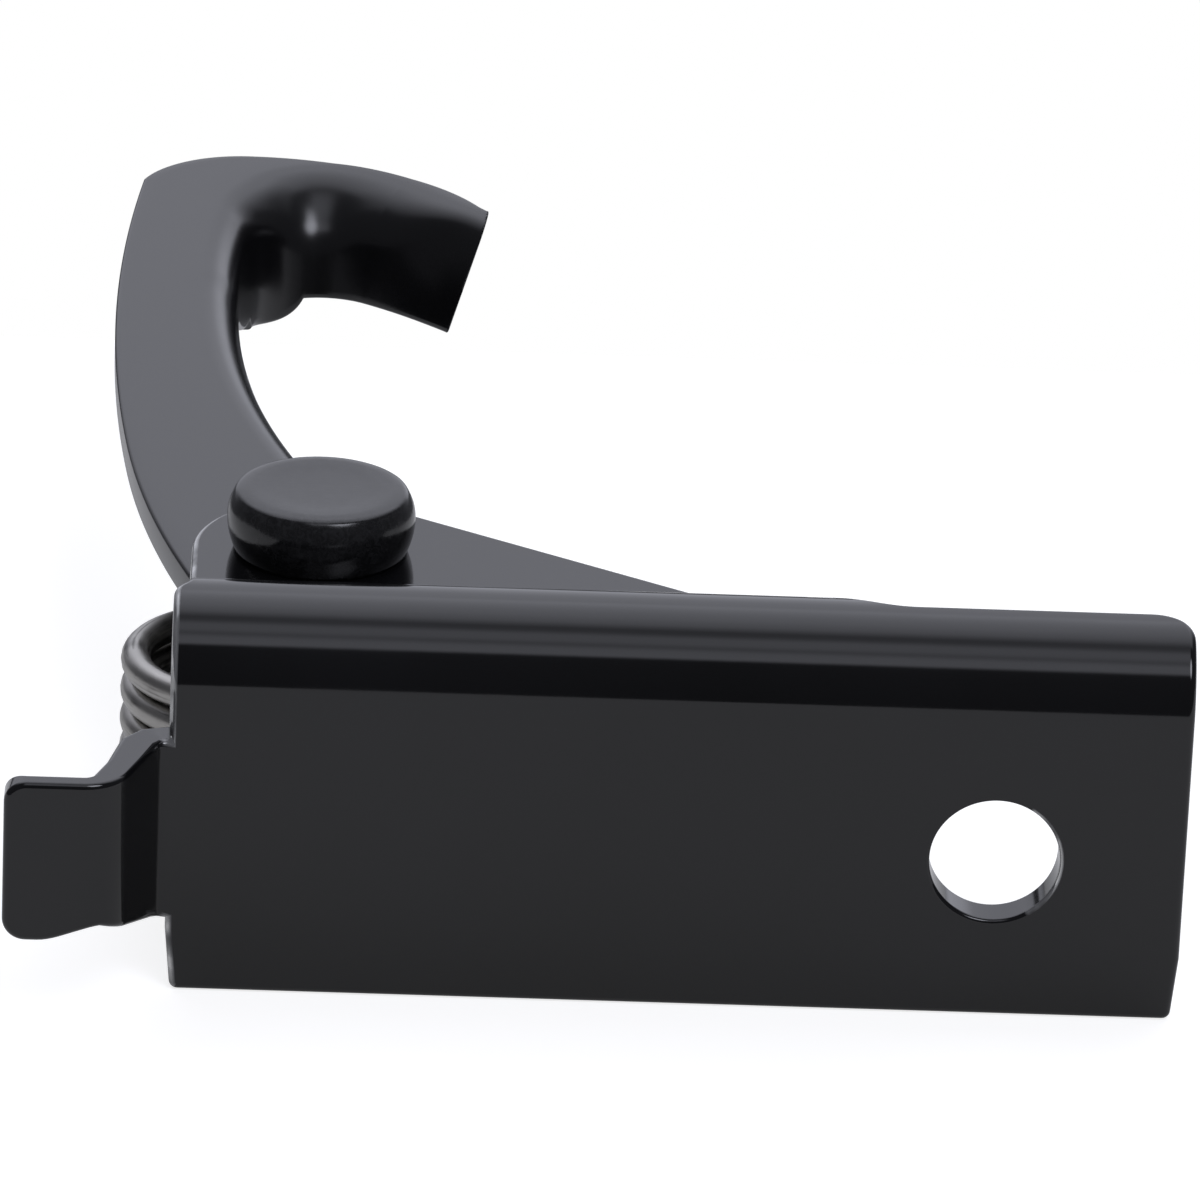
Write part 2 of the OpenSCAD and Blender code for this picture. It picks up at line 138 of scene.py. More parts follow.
def newMaterial(name):
    material = bpy.data.materials.new(name)
    material.use_nodes = True
    material.node_tree.nodes.clear()
    return material, material.node_tree


ecoatLook = {
    "black": "#0a0a0b",
    "blackThin": "#101012",
    # colour of the painted rim highlight, as bare steel
    "steel": "#c9c9c8",
    "rough": (0.07, 0.11),
    "cloudMm": 16.7,  # size of the thicker and thinner patches
    "rimHighlightMm": 3.0,  # length of the stretches of painted highlight on the edges
    "peelMm": 1.6,  # wave of the orange peel
    "speckMm": 2.6,  # spacing of the dust specks in the film
    "satin": 0.13,  # added roughness where the coat is satin
}


def blackEcoat():
    # black electrocoat on stamped steel: a smooth dielectric film, so the eye sees mostly reflections
    material, tree = newMaterial("blackGlossEcoat")
    look = ecoatLook
    place = addNode(tree, "ShaderNodeTexCoord").outputs["Object"]
    cloud = addNode(tree, "ShaderNodeTexNoise", {
        "Vector": place, "Scale": 1 / (look["cloudMm"] * mm), "Detail": 3.0})
    tone = addNode(tree, "ShaderNodeValToRGB", {"Fac": cloud.outputs["Fac"]})
    fillRamp(tone.color_ramp, [(0.35, linear(look["black"])), (0.7, linear(look["blackThin"]))])
    gloss = addNode(tree, "ShaderNodeMapRange", {
        "Value": cloud.outputs["Fac"], "From Min": 0.3, "From Max": 0.7,
        "To Min": look["rough"][0], "To Max": look["rough"][1]})
    # the hook's coat is less smooth than the bracket's
    satin = addNode(tree, "ShaderNodeAttribute", attribute_name="satinCoat").outputs["Fac"]
    sheen = addNode(tree, "ShaderNodeMath", {
        0: satin, 1: look["satin"], 2: gloss.outputs[0]}, operation="MULTIPLY_ADD")
    peel = addNode(tree, "ShaderNodeTexNoise", {
        "Vector": place, "Scale": 1 / (look["peelMm"] * mm), "Detail": 1.0})
    cells = addNode(tree, "ShaderNodeTexVoronoi", {"Vector": place, "Scale": 1 / (look["speckMm"] * mm)})
    # few cells hold a speck: the cell's own colour picks them, and its distance shapes the dot
    pick = addNode(tree, "ShaderNodeMath", {0: cells.outputs["Color"], 1: 0.83}, operation="GREATER_THAN")
    dot = addNode(tree, "ShaderNodeMapRange", {
        "Value": cells.outputs["Distance"], "From Min": 0.05, "From Max": 0.12, "To Min": 1.0, "To Max": 0.0})
    speck = addNode(tree, "ShaderNodeMath", {0: pick.outputs[0], 1: dot.outputs[0]}, operation="MULTIPLY")
    film = addNode(tree, "ShaderNodeBump", {
        "Height": peel.outputs["Fac"], "Strength": 0.05, "Distance": 0.05 * mm})
    skin = addNode(tree, "ShaderNodeBump", {
        "Height": speck.outputs[0], "Strength": 0.4, "Distance": 0.06 * mm, "Normal": film.outputs["Normal"]})
    # painted highlight: the rims that catch the light get bare steel's colour and metal, in short broken
    # lengths
    rimHighlight = addNode(tree, "ShaderNodeAttribute", attribute_name="paintedRimHighlight").outputs["Fac"]
    lengths = addNode(tree, "ShaderNodeTexNoise", {
        "Vector": place, "Scale": 1 / (look["rimHighlightMm"] * mm), "Detail": 2.0})
    broken = addNode(tree, "ShaderNodeMapRange", {
        "Value": lengths.outputs["Fac"], "From Min": 0.35, "From Max": 0.55, "To Min": 0.2, "To Max": 1.0})
    highlightSteel = addNode(tree, "ShaderNodeMath", {0: rimHighlight, 1: broken.outputs[0]}, operation="MULTIPLY")
    colour = addNode(tree, "ShaderNodeMix", {
        0: highlightSteel.outputs[0], 6: tone.outputs["Color"], 7: linear(look["steel"])}, data_type="RGBA")
    shader = addNode(tree, "ShaderNodeBsdfPrincipled", {
        "Base Color": colour.outputs[2], "Metallic": highlightSteel.outputs[0], "Roughness": sheen.outputs[0],
        "IOR": 1.5, "Normal": skin.outputs["Normal"]})
    addNode(tree, "ShaderNodeOutputMaterial", {"Surface": shader.outputs["BSDF"]})
    return material


rivetLook = {
    "dark": "#161617", "rubbed": "#2b2b2c", "rough": (0.13, 0.24),
    "grainMm": 1.11,
    "scuffMm": 0.5,
}


def phosphatedSteel():
    # phosphated and oiled rivet: dark and satin, rubbed lighter by the riveting tool
    material, tree = newMaterial("phosphatedSteel")
    look = rivetLook
    place = addNode(tree, "ShaderNodeTexCoord").outputs["Object"]
    grain = addNode(tree, "ShaderNodeTexNoise", {
        "Vector": place, "Scale": 1 / (look["grainMm"] * mm), "Detail": 4.0})
    scuff = addNode(tree, "ShaderNodeTexNoise", {
        "Vector": place, "Scale": 1 / (look["scuffMm"] * mm), "Detail": 5.0, "Distortion": 1.5})
    tone = addNode(tree, "ShaderNodeValToRGB", {"Fac": scuff.outputs["Fac"]})
    fillRamp(tone.color_ramp, [(0.4, linear(look["dark"])), (0.75, linear(look["rubbed"]))])
    gloss = addNode(tree, "ShaderNodeMapRange", {
        "Value": grain.outputs["Fac"], "From Min": 0.3, "From Max": 0.7,
        "To Min": look["rough"][0], "To Max": look["rough"][1]})
    rough = addNode(tree, "ShaderNodeBump", {
        "Height": scuff.outputs["Fac"], "Strength": 0.12, "Distance": 0.06 * mm})
    shader = addNode(tree, "ShaderNodeBsdfPrincipled", {
        "Base Color": tone.outputs["Color"], "Roughness": gloss.outputs[0], "IOR": 1.45,
        "Normal": rough.outputs["Normal"]})
    addNode(tree, "ShaderNodeOutputMaterial", {"Surface": shader.outputs["BSDF"]})
    return material


wireLook = {
    "bright": "#a09e9a", "dull": "#3f3e3b", "rough": (0.26, 0.44),
    "drawMm": 0.35,  # width of the die's streaks, drawn coarser than real so that they show
    "patchMm": 3.85,
}


def drawnSpringWire():
    # bare drawn spring wire: warm grey metal, streaked along its length and dulled in patches
    material, tree = newMaterial("drawnSpringWire")
    look = wireLook
    along = addNode(tree, "ShaderNodeUVMap", uv_map="wire").outputs["UV"]
    stretch = addNode(tree, "ShaderNodeMapping", {"Vector": along, "Scale": (0.05, 1.0, 1.0)})
    place = addNode(tree, "ShaderNodeTexCoord").outputs["Object"]
    streak = addNode(tree, "ShaderNodeTexNoise", {
        "Vector": stretch.outputs["Vector"], "Scale": 1 / look["drawMm"], "Detail": 3.0})
    patch = addNode(tree, "ShaderNodeTexNoise", {
        "Vector": place, "Scale": 1 / (look["patchMm"] * mm), "Detail": 3.0})
    both = addNode(tree, "ShaderNodeMath", {
        0: streak.outputs["Fac"], 1: patch.outputs["Fac"]}, operation="ADD")
    tone = addNode(tree, "ShaderNodeValToRGB", {"Fac": both.outputs[0]})
    fillRamp(tone.color_ramp, [(0.7, linear(look["dull"])), (1.0, linear(look["bright"]))])
    gloss = addNode(tree, "ShaderNodeMapRange", {
        "Value": patch.outputs["Fac"], "From Min": 0.3, "From Max": 0.7,
        "To Min": look["rough"][0], "To Max": look["rough"][1]})
    ridges = addNode(tree, "ShaderNodeBump", {
        "Height": streak.outputs["Fac"], "Strength": 0.15, "Distance": 0.03 * mm})
    shader = addNode(tree, "ShaderNodeBsdfPrincipled", {
        "Base Color": tone.outputs["Color"], "Metallic": 1.0, "Roughness": gloss.outputs[0],
        "Normal": ridges.outputs["Normal"]})
    addNode(tree, "ShaderNodeOutputMaterial", {"Surface": shader.outputs["BSDF"]})
    return material


washerLook = {
    "zinc": "#a9aaa8", "grey": "#85868a", "rough": (0.28, 0.42),
    "spangleMm": 1.2,
    "fineMm": 0.667,
}


def platedSteel():
    # zinc plated washer: pale metal with a soft spangle and a fine grain
    material, tree = newMaterial("zincPlatedSteel")
    look = washerLook
    place = addNode(tree, "ShaderNodeTexCoord").outputs["Object"]
    spangle = addNode(tree, "ShaderNodeTexVoronoi", {"Vector": place, "Scale": 1 / (look["spangleMm"] * mm)})
    tone = addNode(tree, "ShaderNodeValToRGB", {"Fac": spangle.outputs["Distance"]})
    fillRamp(tone.color_ramp, [(0.0, linear(look["zinc"])), (1.0, linear(look["grey"]))])
    fine = addNode(tree, "ShaderNodeTexNoise", {
        "Vector": place, "Scale": 1 / (look["fineMm"] * mm), "Detail": 3.0})
    gloss = addNode(tree, "ShaderNodeMapRange", {
        "Value": fine.outputs["Fac"], "From Min": 0.3, "From Max": 0.7,
        "To Min": look["rough"][0], "To Max": look["rough"][1]})
    rough = addNode(tree, "ShaderNodeBump", {
        "Height": fine.outputs["Fac"], "Strength": 0.1, "Distance": 0.03 * mm})
    shader = addNode(tree, "ShaderNodeBsdfPrincipled", {
        "Base Color": tone.outputs["Color"], "Metallic": 1.0, "Roughness": gloss.outputs[0],
        "Normal": rough.outputs["Normal"]})
    addNode(tree, "ShaderNodeOutputMaterial", {"Surface": shader.outputs["BSDF"]})
    return material


ecoat = blackEcoat()
rivetSteel = phosphatedSteel()
springWire = drawnSpringWire()
washerZinc = platedSteel()
print("materials ready")


# Bracket: a flat blank is filled with triangles, then folded into the plate, the ear and the tab

bracketDims = {
    "sheet": 2.8, "left": 57.1, "right": 13.2, "below": 11.8, "above": 16.4,
    "cornerR": 0.6, "draw": 0.35, "drawHeight": 4.6, "foldR": 5.8, "boltHole": 9.0,
    "stubDepth": 6.3, "stubR": 3.0, "shoulderR": 2.2, "shoulderY": 4.8,
    "pivotLeft": 47.2, "pivotBack": 19.5, "earDrop": 2.9, "earR": 9.0,
    "stepAngle": 45.0, "stepR": 2.0, "slant": 30.8, "filletR": 6.0,
    "tabOffset": 7.5, "tabReach": 11.0, "tabTop": 7.15, "tabRoot": 13.55, "tabEnd": 12.0,
    "tabCornerR": 1.6, "tabAngle": 70.0, "tabFlat": 2.4, "neck": 4.2, "neckRise": 1.1,
    "rootR": 0.8, "faceR": 0.6,
    "edgeR": 0.5, "holeEdgeR": 0.3, "tabShear": 0.7,
    # spacing of the mesh: flats, fold, foot of the ear's step, outline, hole and small curves
    "flatStep": 2.5, "foldStep": 0.4, "footStep": 0.25, "edgeStep": 0.5, "holeStep": 0.25, "curveStep": 0.2,
    "rimGap": 0.06,  # the flat faces stop just short of the rounded rims
    "rimClear": 0.22,  # inner points stay this far from the rims
}


class Folder:
    # maps a place on the blank (u along the plate, v up and over the fold) and a depth to space
    def __init__(self, dims):
        self.d = dims
        self.angle = math.radians(dims["stepAngle"])
        self.foldZ = dims["above"] - dims["foldR"]
        self.earTop = dims["above"] - dims["earDrop"]
        s, big, small = self.angle, dims["foldR"], dims["stepR"]
        self.stepFlat = (dims["earDrop"] - (big + small) * (1 - math.cos(s))) / math.sin(s)
        self.v1 = self.foldZ + big * (math.pi / 2 + s)
        self.v2 = self.v1 + self.stepFlat
        self.v3 = self.v2 + small * s
        self.stepTop = np.array([big * (1 + math.sin(s)), self.foldZ + big * math.cos(s)])
        foot = self.stepTop + self.stepFlat * np.array([math.cos(s), -math.sin(s)])
        self.footC = np.array([foot[0] + small * math.sin(s), self.earTop + small])
        # tab, in plan
        g = math.radians(dims["tabAngle"])
        self.tabAngle, self.faceOut = g, dims["faceR"] + dims["sheet"]
        run = (dims["tabOffset"] - (dims["rootR"] + self.faceOut) * (1 - math.cos(g))) / math.sin(g)
        self.w1 = dims["rootR"] * g
        self.w2 = self.w1 + run
        self.w3 = self.w2 + self.faceOut * g
        self.rootEnd = np.array([
            -dims["left"] - dims["rootR"] * math.sin(g), -dims["rootR"] * (1 - math.cos(g))])
        faceStart = self.rootEnd - run * np.array([math.cos(g), math.sin(g)])
        self.faceC = faceStart + self.faceOut * np.array([-math.sin(g), math.cos(g)])
        steps = np.linspace(self.foldZ, self.v3 + 40, 6000)
        self.vTable, self.yTable = steps, np.array([self.side(v)[0][0] for v in steps])
        reach = np.linspace(0, self.w3 + 20, 4000)
        self.wTable, self.xTable = reach, np.array([-self.tab(w)[0][0] for w in reach])

    def side(self, v):
        d, s = self.d, self.angle
        if v <= self.foldZ:
            return np.array([0, v]), np.array([-1.0, 0])
        if v <= self.v1:
            a = math.pi - (v - self.foldZ) / d["foldR"]
            n = np.array([math.cos(a), math.sin(a)])
            return np.array([d["foldR"], self.foldZ]) + d["foldR"] * n, n
        if v <= self.v2:
            go = np.array([math.cos(s), -math.sin(s)])
            return self.stepTop + (v - self.v1) * go, np.array([math.sin(s), math.cos(s)])
        if v <= self.v3:
            a = 1.5 * math.pi - s + (v - self.v2) / d["stepR"]
            n = np.array([math.cos(a), math.sin(a)])
            return self.footC + d["stepR"] * n, -n
        return np.array([self.footC[0] + v - self.v3, self.earTop]), np.array([0, 1.0])

    def tab(self, w):
        d, g = self.d, self.tabAngle
        if w <= self.w1:
            a = math.pi / 2 + w / d["rootR"]
            n = np.array([math.cos(a), math.sin(a)])
            return np.array([-d["left"], -d["rootR"]]) + d["rootR"] * n, -n
        if w <= self.w2:
            go = np.array([-math.cos(g), -math.sin(g)])
            return self.rootEnd + (w - self.w1) * go, np.array([math.sin(g), -math.cos(g)])
        if w <= self.w3:
            a = 1.5 * math.pi + g - (w - self.w2) / self.faceOut
            n = np.array([math.cos(a), math.sin(a)])
            return self.faceC + self.faceOut * n, n
        return np.array([self.faceC[0] - (w - self.w3), -d["tabOffset"]]), np.array([0, -1.0])

    def vOfY(self, y):
        return float(np.interp(y, self.yTable, self.vTable))

    def uOfX(self, x):
        return -self.d["left"] - float(np.interp(-x, self.xTable, self.wTable))

    def place(self, u, v, depth):
        # returns the point, the face normal, and the two directions along the blank
        if u < -self.d["left"]:
            p, n = self.tab(-self.d["left"] - u)
            q = p - depth * n
            return (np.array([q[0], q[1], v]), np.array([n[0], n[1], 0]),
                    np.array([-n[1], n[0], 0]), np.array([0, 0, 1.0]))
        p, n = self.side(v)
        q = p - depth * n
        return (np.array([u, q[0], q[1]]), np.array([0, n[0], n[1]]),
                np.array([1.0, 0, 0]), np.array([0, n[1], -n[0]]))


def bracketOutline(fold):
    d, fine, slant = fold.d, fold.d["curveStep"], math.radians(fold.d["slant"])
    left, right, low = d["left"], d["right"], d["cornerR"] - d["below"]
    drawTop, drawIn = d["drawHeight"] - d["below"], d["cornerR"] + d["draw"]
    pivot = np.array([-d["pivotLeft"], d["pivotBack"]])
    tangent = pivot + d["earR"] * np.array([math.sin(slant), math.cos(slant)])
    run = (tangent[1] - d["stubDepth"]) / math.sin(slant)
    meetX = tangent[0] + run * math.cos(slant)
    filletC = [meetX + d["filletR"] * math.tan(slant / 2), d["stubDepth"] + d["filletR"]]
    earLeft, bend = pivot[0] - d["earR"], d["shoulderR"]
    swing = math.degrees(math.acos(1 - (earLeft + left) / (2 * bend)))
    stubC = [right - d["stubR"], d["stubDepth"] - d["stubR"]]
    tip, c = -left - d["tabReach"], d["tabCornerR"]
    rootBottom, endBottom = d["tabTop"] - d["tabRoot"], d["tabTop"] - d["tabEnd"]
    plate = [[-left, rootBottom], [-left, drawTop]]
    plate += arcPoints([drawIn - left, low], d["cornerR"], 180, 270, fine)
    plate += arcPoints([right - drawIn, low], d["cornerR"], 270, 360, fine)
    plate += [[right, drawTop], [right, fold.foldZ]]
    plan = arcPoints(stubC, d["stubR"], 0, 90)
    plan += arcPoints(filletC, d["filletR"], 270, 270 - d["slant"])
    plan += arcPoints(pivot, d["earR"], 90 - d["slant"], 180)
    swingY = d["shoulderY"] + 2 * bend * math.sin(math.radians(swing))
    plan += arcPoints([earLeft - bend, swingY], bend, 0, -swing, fine)
    plan += arcPoints([bend - left, d["shoulderY"]], bend, 180 - swing, 180, fine)
    tab = [[-left, d["tabTop"]]]
    front = arcPoints([tip + c, d["tabTop"] - c], c, 90, 180, fine)
    front += arcPoints([tip + c, endBottom + c], c, 180, 270, fine)
    # the lower edge is flat at the end and rises to the neck
    rise = d["tabReach"] - d["neck"] - d["tabFlat"]
    front += [[tip + d["tabFlat"] + rise * u, endBottom + d["neckRise"] * ease(u)]
              for u in np.linspace(0, 1, 13)]
    points = plate + [[x, fold.vOfY(y)] for x, y in plan] + tab + [[fold.uOfX(x), z] for x, z in front]
    return np.array(points)


def subdivide(loop, spacing):
    points = []
    for a, b in zip(loop, np.roll(loop, -1, axis=0)):
        count = max(1, math.ceil(np.linalg.norm(b - a) / spacing))
        points += [a + (b - a) * i / count for i in range(count)]
    kept = [points[0]]
    for p in points[1:]:
        if np.linalg.norm(p - kept[-1]) > 0.02:
            kept.append(p)
    return np.array(kept)


def outward(loop):
    # unit direction out of the material at each point, for a loop with the material on its left
    before = loop - np.roll(loop, 1, axis=0)
    after = np.roll(loop, -1, axis=0) - loop
    normals = []
    for a, b in zip(before, after):
        na = np.array([a[1], -a[0]]) / np.linalg.norm(a)
        nb = np.array([b[1], -b[0]]) / np.linalg.norm(b)
        n = na + nb
        normals.append(n / max(0.5, n @ na))
    return np.array(normals)


def insideLoop(points, loop):
    hit = np.zeros(len(points), bool)
    x, y = points[:, 0], points[:, 1]
    for a, b in zip(loop, np.roll(loop, -1, axis=0)):
        if a[1] != b[1]:
            cross = (a[1] > y) != (b[1] > y)
            hit ^= cross & (x < (b[0] - a[0]) * (y - a[1]) / (b[1] - a[1]) + a[0])
    return hit


def nearLoop(points, loop, gap):
    return np.array([np.min(np.hypot(*(loop - p).T)) < gap for p in points])


def buildBracket():
    d = bracketDims
    fold = Folder(d)
    edge = subdivide(bracketOutline(fold), d["edgeStep"])
    hole = np.array(arcPoints([0, 0], d["boltHole"] / 2, 360, 0, d["holeStep"]))[:-1]
    edgeOut, holeOut = outward(edge), outward(hole)
    # the sheared top of the tab falls away to the back, less so near the plate
    onTab = np.clip((-d["left"] - edge[:, 0] - fold.w1) / (0.5 * (fold.w2 - fold.w1)), 0, 1)
    shear = d["tabShear"] * onTab * np.clip(edgeOut[:, 1], 0, 1) ** 2
    loops = [(edge, edgeOut, d["edgeR"], shear), (hole, holeOut, d["holeEdgeR"], np.zeros(len(hole)))]
    inner = [points - out * (radius + d["rimGap"] + fall)[:, None] for points, out, radius, fall in loops]
    # rows of inner points, close together on the bends
    step = d["flatStep"]
    rows = np.concatenate([
        np.arange(-d["below"] + 2, fold.foldZ - 1, step), np.arange(fold.foldZ, fold.v1, d["foldStep"]),
        np.arange(fold.v1, fold.v3 + 0.3, d["footStep"]), np.arange(fold.v3 + 2, fold.v3 + 22, step)])
    grid = [[u, v] for v in rows for u in np.arange(-d["left"] + 1, d["right"], step)]
    columns = np.concatenate([
        np.arange(0.05, fold.w1, 0.16), np.arange(fold.w1 + 0.5, fold.w2, 0.9),
        np.arange(fold.w2, fold.w3, 0.3), np.arange(fold.w3 + 0.8, fold.w3 + 12, 1.2)])
    grid += [[-d["left"] - w, z] for w in columns for z in np.arange(-6.5, d["tabTop"], 1.3)]
    grid = np.array(grid)
    keep = insideLoop(grid, inner[0]) & ~insideLoop(grid, inner[1])
    grid = grid[keep]
    grid = grid[~nearLoop(grid, inner[0], d["rimClear"]) & ~nearLoop(grid, inner[1], d["rimClear"])]
    flat = np.concatenate(inner + [grid])
    seams, start = [], 0
    for points in inner:
        n = len(points)
        seams += [(start + i, start + (i + 1) % n) for i in range(n)]
        start += n
    found = delaunay_2d_cdt([Vector(p) for p in flat], seams, [], 0, 1e-5)
    flat = np.array([tuple(p) for p in found[0]])
    triangles = np.array([tuple(t) for t in found[2]])
    middle = flat[triangles].mean(axis=1)
    triangles = triangles[insideLoop(middle, inner[0]) & ~insideLoop(middle, inner[1])]
    # both faces of the sheet, then the rounded rim of each loop
    points, normals, faces = [], [], []
    for depth, sign in ((0, 1), (d["sheet"], -1)):
        offset = len(points)
        for u, v in flat:
            p, n = fold.place(u, v, depth)[:2]
            points.append(p)
            normals.append(sign * n)
        faces += [tuple(int(i) + offset for i in t[::sign]) for t in triangles]
    start = 0
    rimHighlightWeight = [0.0] * len(points)
    for loop, out, radius, fall in loops:
        count = len(loop)
        rim = [(radius, 0.0, 0.0, 1.0)]
        for a in np.linspace(0, 90, 6)[1:]:
            rim.append((radius * (1 - math.sin(math.radians(a))), radius * (1 - math.cos(math.radians(a))),
                        math.sin(math.radians(a)), math.cos(math.radians(a))))
        rim += [(inset, d["sheet"] - depth, s, -c) for inset, depth, s, c in rim[:0:-1]]
        previous = [start + i for i in range(count)]
        for inset, depth, s, c in rim:
            current = []
            for (u, v), n2 in zip(loop - out * (inset + fall * depth / d["sheet"])[:, None], out):
                p, n, alongU, alongV = fold.place(u, v, depth)
                flatN = n2 / np.linalg.norm(n2)
                current.append(len(points))
                points.append(p)
                normals.append(s * (flatN[0] * alongU + flatN[1] * alongV) + c * n)
                # painted highlight on the front of the plate's and the ear's left rims, where those edges catch
                # the light
                leftEdge = flatN[0] < -0.5 and u > -d["left"] - 0.1
                rimHighlightWeight.append(s * c * 2 if leftEdge and c > 0 else 0.0)
            faces += [(previous[i], current[i], current[(i + 1) % count], previous[(i + 1) % count])
                      for i in range(count)]
            previous = current
        last = [len(flat) + start + i for i in range(count)]
        faces += [(previous[i], last[i], last[(i + 1) % count], previous[(i + 1) % count])
                  for i in range(count)]
        start += count
    piece = addPiece("bracketPlate", points, faces, ecoat, normals)
    rimHighlight = piece.data.attributes.new("paintedRimHighlight", "FLOAT", "POINT")
    rimHighlight.data.foreach_set("value", rimHighlightWeight)
    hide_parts("bracket")
    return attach(piece, "bracket")


bracket = buildBracket()
print("bracket folded:", len(bracket.data.polygons), "faces")


def pivotAt(z):
    return np.array([-bracketDims["pivotLeft"], bracketDims["pivotBack"], z])


# Hook: a sheet lofted from the stop heel round the hub, along the arm and into the catch flange

hookDims = {
    "sheet": 2.5, "top": 10.3, "hubR": 8.1, "reach": 83.4, "bow": 16.0, "bowBack": 29.9, "outerR": 240.0,
    "armWidth": 9.2, "waistBack": 25.2, "innerR": 98.0, "throatR": 5.5, "throatTurn": 7.0,
    "tipOuterR": 23.0, "tipLeft": 6.5, "knuckleR": 8.6, "knuckleStart": 91.0,
    "rollR": 3.1, "rollTurn": 66.0, "rollStart": 13.0, "runOut": 8.0, "rollDepth": 2.7, "catchDepth": 8.4,
    "lipStart": 0.4,  # straight lip below the roll where the roll begins
    "lobeExtra": 1.4, "lobeR": 2.6, "lobeLeft": 3.8,
    "deepen": 0.7,  # share of the arm after which its roll deepens into the flange
    "steepen": 2.5, "widen": 1.5,  # how much sooner the flange stands up, and the throat's roll opens out
    "innerRollR": 2.7, "innerLean": 5.0, "throatRollR": 5.4,
    "shelf": 2.6, "shelfAngle": 42.0, "shelfGain": 10.0, "shelfAt": 95.0, "shelfWide": 42.0,
    "throatLean": 13.0, "tipLean": 22.0, "tipFlare": 0.8, "tipRollR": 2.6, "tipSkew": 0.2, "tipDraw": 0.7,
    "leastFlat": 0.2,  # flat top left beside the roll at the tip
    # the loft runs past the tip, and a plane through these places shears it off
    "tipEnd": 34.4, "overrun": 9.0, "shearTop": (11.9, 73.0), "shearLow": (9.1, 69.7),
    "shearWay": (-0.05, 0.92, -0.4), "shearFrom": 55.0, "shearEdge": 0.15,
    "hipY": 25.0, "hubEnd": 290.0,
    "heelLeft": 3.5, "heelRight": 10.5, "heelRoot": 2.0, "stopGap": 0.3,
    "edgeR": 0.35, "tipUndercut": 2.0,
}


def farSide(p, n, c, r):
    q = c - p
    s = q @ n
    return p + (s + math.sqrt(r * r - q @ q + s * s)) * n


def circlesMeet(a, ra, b, rb):
    gap = np.linalg.norm(b - a)
    u = (b - a) / gap
    s = (gap * gap + ra * ra - rb * rb) / (2 * gap)
    return a + s * u + math.sqrt(ra * ra - s * s) * np.array([-u[1], u[0]])


def bendCurve(radius, angle, shelf=0.0, flange=None, depth=None):
    # the sheet's section past the bend line: lengths, turn, reach towards the throat and height
    h, b = hookDims, math.radians(angle)
    first = min(math.radians(h["shelfAngle"]), b / 2)
    gain = math.radians(h["shelfGain"]) * shelf / h["shelf"]
    knots = np.cumsum([0, radius * first, shelf, radius * (b - first - gain)])
    if flange is None:
        s = (np.arange(300) + 0.5) * knots[-1] / 300
        drop = np.mean(np.sin(np.interp(s, knots, [0, first, first + gain, b]))) * knots[-1]
        flange = max((depth - drop) / math.sin(b), 0.1)
    s = np.linspace(0, knots[-1] + flange, 300)
    turn = np.interp(s, [*knots, s[-1]], [0, first, first + gain, b, b])
    step = s[1] - s[0]
    middle = (turn[1:] + turn[:-1]) / 2
    return {"length": s, "turn": turn, "reach": np.concatenate([[0], np.cumsum(np.cos(middle) * step)]),
            "height": -np.concatenate([[0], np.cumsum(np.sin(middle) * step)])}


